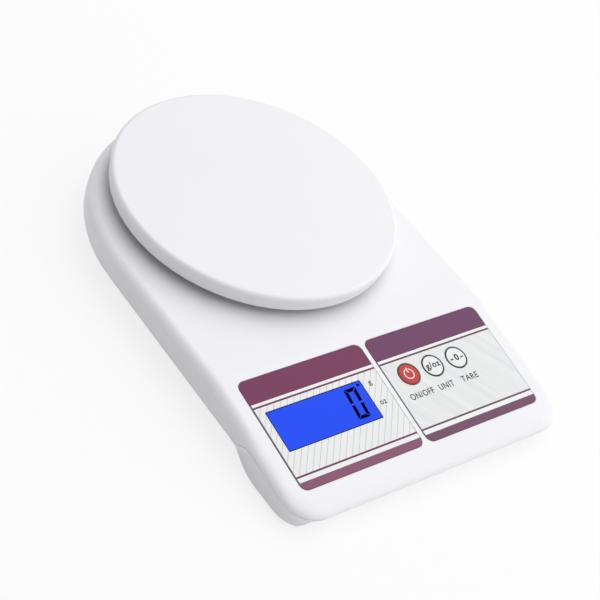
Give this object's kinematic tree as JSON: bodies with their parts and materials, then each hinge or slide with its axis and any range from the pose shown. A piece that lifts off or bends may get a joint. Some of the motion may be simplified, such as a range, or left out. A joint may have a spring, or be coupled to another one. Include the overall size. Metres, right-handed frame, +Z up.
{
  "type": "electronic weighing scale",
  "caption": "Compact electronic scale: round white platform over a load cell, low case with a sloped panel, backlit display, press keys and a battery door below.",
  "frame": {"origin": "on the table, midway along and across the case, under its middle", "axes": "+Z up, -Y towards the display end, +X to the user's right"},
  "size_m": [0.164, 0.23, 0.035],
  "materials": {
    "white_abs": "fine satin moulding",
    "white_plastic": "matt moulding",
    "label_film": "printed silver film",
    "key_film": "printed silver film",
    "red_film": "printed red film",
    "clear_lens": "clear polished",
    "blue_glass": "blue backlit display",
    "aluminium": "milled",
    "nickel": "nickel plated spring steel",
    "green_board": "green solder mask",
    "black_plastic": "matt",
    "grey_rubber": "matt",
    "white_silicone": "soft matt",
    "cell_wrap": "plain dark wrap",
    "red_lead": "insulated wire",
    "black_lead": "insulated wire",
    "grey_cable": "insulated cable"
  },
  "bodies": {
    "case": {"upper_case": "white_abs", "lower_case": "white_abs", "load_cell": "aluminium", "gauge_cover": "white_silicone", "load_cell_spacer": "aluminium", "display_label": "label_film", "display_window": "clear_lens", "keypad_label": "label_film", "power_switch": "black_plastic", "unit_switch": "black_plastic", "tare_switch": "black_plastic", "circuit_board": "green_board", "controller_chip": "black_plastic", "lcd_glass": "blue_glass", "lcd_frame": "white_plastic", "backlight_panel": "white_plastic", "lcd_strip_upper": "black_plastic", "lcd_strip_lower": "black_plastic", "battery_front": "cell_wrap", "battery_rear": "cell_wrap", "contact_bridge": "nickel", "contact_positive": "nickel", "contact_negative": "nickel", "battery_spring_front": "nickel", "battery_spring_rear": "nickel", "foot_front_left": "grey_rubber", "foot_front_right": "grey_rubber", "foot_rear_left": "grey_rubber", "foot_rear_right": "grey_rubber", "battery_lead_red": "red_lead", "battery_lead_black": "black_lead", "load_cell_cable": "grey_cable"},
    "platform": {"weighing_platform": "white_abs", "platform_carrier": "white_plastic"},
    "power_button": {"power_key": "red_film", "power_switch_stem": "black_plastic"},
    "unit_button": {"unit_key": "key_film", "unit_switch_stem": "black_plastic"},
    "tare_button": {"tare_key": "key_film", "tare_switch_stem": "black_plastic"},
    "door": {"battery_door": "white_abs"}
  },
  "joints": [
    {"name": "platform_weigh", "type": "slide", "parent": "case", "child": "platform", "axis": [0, 0, -1], "range_m": [0, 0.0005], "stiffness_N_per_m": 98000, "deforming": ["load_cell"]},
    {"name": "power_press", "type": "slide", "parent": "case", "child": "power_button", "axis": [0, 0.1564, -0.9877], "range_m": [0, 0.00025], "stiffness_N_per_m": 4000},
    {"name": "unit_press", "type": "slide", "parent": "case", "child": "unit_button", "axis": [0, 0.1564, -0.9877], "range_m": [0, 0.00025], "stiffness_N_per_m": 4000},
    {"name": "tare_press", "type": "slide", "parent": "case", "child": "tare_button", "axis": [0, 0.1564, -0.9877], "range_m": [0, 0.00025], "stiffness_N_per_m": 4000},
    {"name": "battery_door_hinge", "type": "hinge", "parent": "case", "child": "door", "pos_m": [0, -0.0061, 0.003], "axis": [1, 0, 0], "range_deg": [0, 60]}
  ]
}
